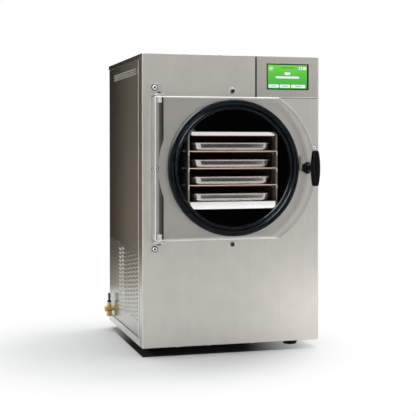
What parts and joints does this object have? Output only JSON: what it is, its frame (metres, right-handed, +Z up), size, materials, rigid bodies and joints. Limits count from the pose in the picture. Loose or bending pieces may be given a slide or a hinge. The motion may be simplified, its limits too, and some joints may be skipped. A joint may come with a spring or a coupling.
{
  "type": "freeze dryer",
  "caption": "Table-top freeze dryer: steel cabinet on feet, round vacuum chamber with heated shelves and trays behind a thick clear side-hinged door with a T-grip.",
  "frame": {"origin": "on the floor, under the middle of the overall box", "axes": "+Z up, +X to the right as seen from the front, +Y from the door to the back"},
  "size_m": [0.442, 0.546, 0.681],
  "materials": {
    "front_steel": "fine brushed, warm grey",
    "cabinet_steel": "fine brushed",
    "side_steel": "satin, reflects darkly",
    "frame_steel": "plain sheet",
    "rubber_black": "matte",
    "frame_black": "satin",
    "screen": "lit green display",
    "board_green": "circuit board",
    "chamber_black": "black coating",
    "gasket_rubber": "smooth, slight sheen",
    "copper": "drawn copper tube",
    "foam_black": "closed-cell foam",
    "rack_steel": "bright sheet",
    "pad_orange": "silicone heater mat",
    "lead_amber": "insulated lead",
    "tray_steel": "bright drawn steel",
    "hinge_dark": "dark anodised",
    "pin_black": "blackened steel",
    "bush_white": "bearing plastic",
    "screw_dark": "dark steel",
    "door_clear": "polished clear plate",
    "grip_black": "gloss black",
    "latch_steel": "satin",
    "valve_brass": "turned",
    "port_black": "moulded",
    "enamel_black": "black enamel",
    "fin_aluminium": "mill finish"
  },
  "bodies": {
    "cabinet": {"base_pan": "cabinet_steel", "foot_front_left": "rubber_black", "foot_front_right": "rubber_black", "foot_rear_left": "rubber_black", "foot_rear_right": "rubber_black", "front_panel": "front_steel", "control_panel": "front_steel", "screen_frame": "frame_black", "screen_glass": "screen", "display_board": "board_green", "left_side_panel": "side_steel", "right_side_panel": "side_steel", "left_vent_panel": "side_steel", "right_vent_panel": "side_steel", "top_cover": "cabinet_steel", "back_panel": "cabinet_steel", "chamber_bulkhead": "frame_steel", "chamber_cradle": "frame_steel", "chamber_drum": "chamber_black", "door_gasket": "gasket_rubber", "cooling_coil": "copper", "chamber_foam": "foam_black", "rack_left_side": "rack_steel", "rack_right_side": "rack_steel", "shelf_1": "rack_steel", "shelf_2": "rack_steel", "shelf_3": "rack_steel", "shelf_4": "rack_steel", "shelf_5": "rack_steel", "heater_pads": "pad_orange", "heater_leads": "lead_amber", "tray_1": "tray_steel", "tray_2": "tray_steel", "tray_3": "tray_steel", "tray_4": "tray_steel", "hinge_bar": "hinge_dark", "hinge_pins": "pin_black", "hinge_screws": "screw_dark", "chamber_screws": "screw_dark", "latch_strike": "latch_steel", "strike_screws": "screw_dark", "valve_body": "valve_brass", "valve_nut": "latch_steel", "drain_tube": "latch_steel", "vacuum_port": "port_black", "power_inlet": "port_black", "compressor": "enamel_black", "condenser_coil": "fin_aluminium", "fan_shroud": "frame_steel", "fan_motor": "enamel_black", "electronics_tray": "frame_steel", "control_board": "board_green"},
    "door": {"door_slab": "door_clear", "hinge_bushes": "bush_white", "handle_bush": "grip_black"},
    "latch": {"handle_grip": "grip_black", "latch_shaft": "latch_steel"},
    "drain_lever": {"valve_lever": "grip_black"},
    "power_rocker": {"power_switch": "port_black"},
    "fan": {"fan_blades": "port_black"}
  },
  "joints": [
    {"name": "door_hinge", "type": "hinge", "parent": "cabinet", "child": "door", "pos_m": [-0.1685, -0.194, 0.424], "axis": [0, 0, -1], "range_deg": [0, 165]},
    {"name": "handle_turn", "type": "hinge", "parent": "door", "child": "latch", "pos_m": [0.175, -0.21, 0.424], "axis": [0, 1, 0], "range_deg": [0, 90]},
    {"name": "drain_valve_turn", "type": "hinge", "parent": "cabinet", "child": "drain_lever", "pos_m": [-0.21, 0.194, 0.075], "axis": [0, 0, 1], "range_deg": [0, 90]},
    {"name": "switch_rock", "type": "hinge", "parent": "cabinet", "child": "power_rocker", "pos_m": [0.16, 0.24, 0.08], "axis": [-1, 0, 0], "range_deg": [0, 16]},
    {"name": "fan_spin", "type": "hinge", "parent": "cabinet", "child": "fan", "pos_m": [0.1199, -0.047, 0.11115], "axis": [0, 1, 0], "continuous": true}
  ]
}
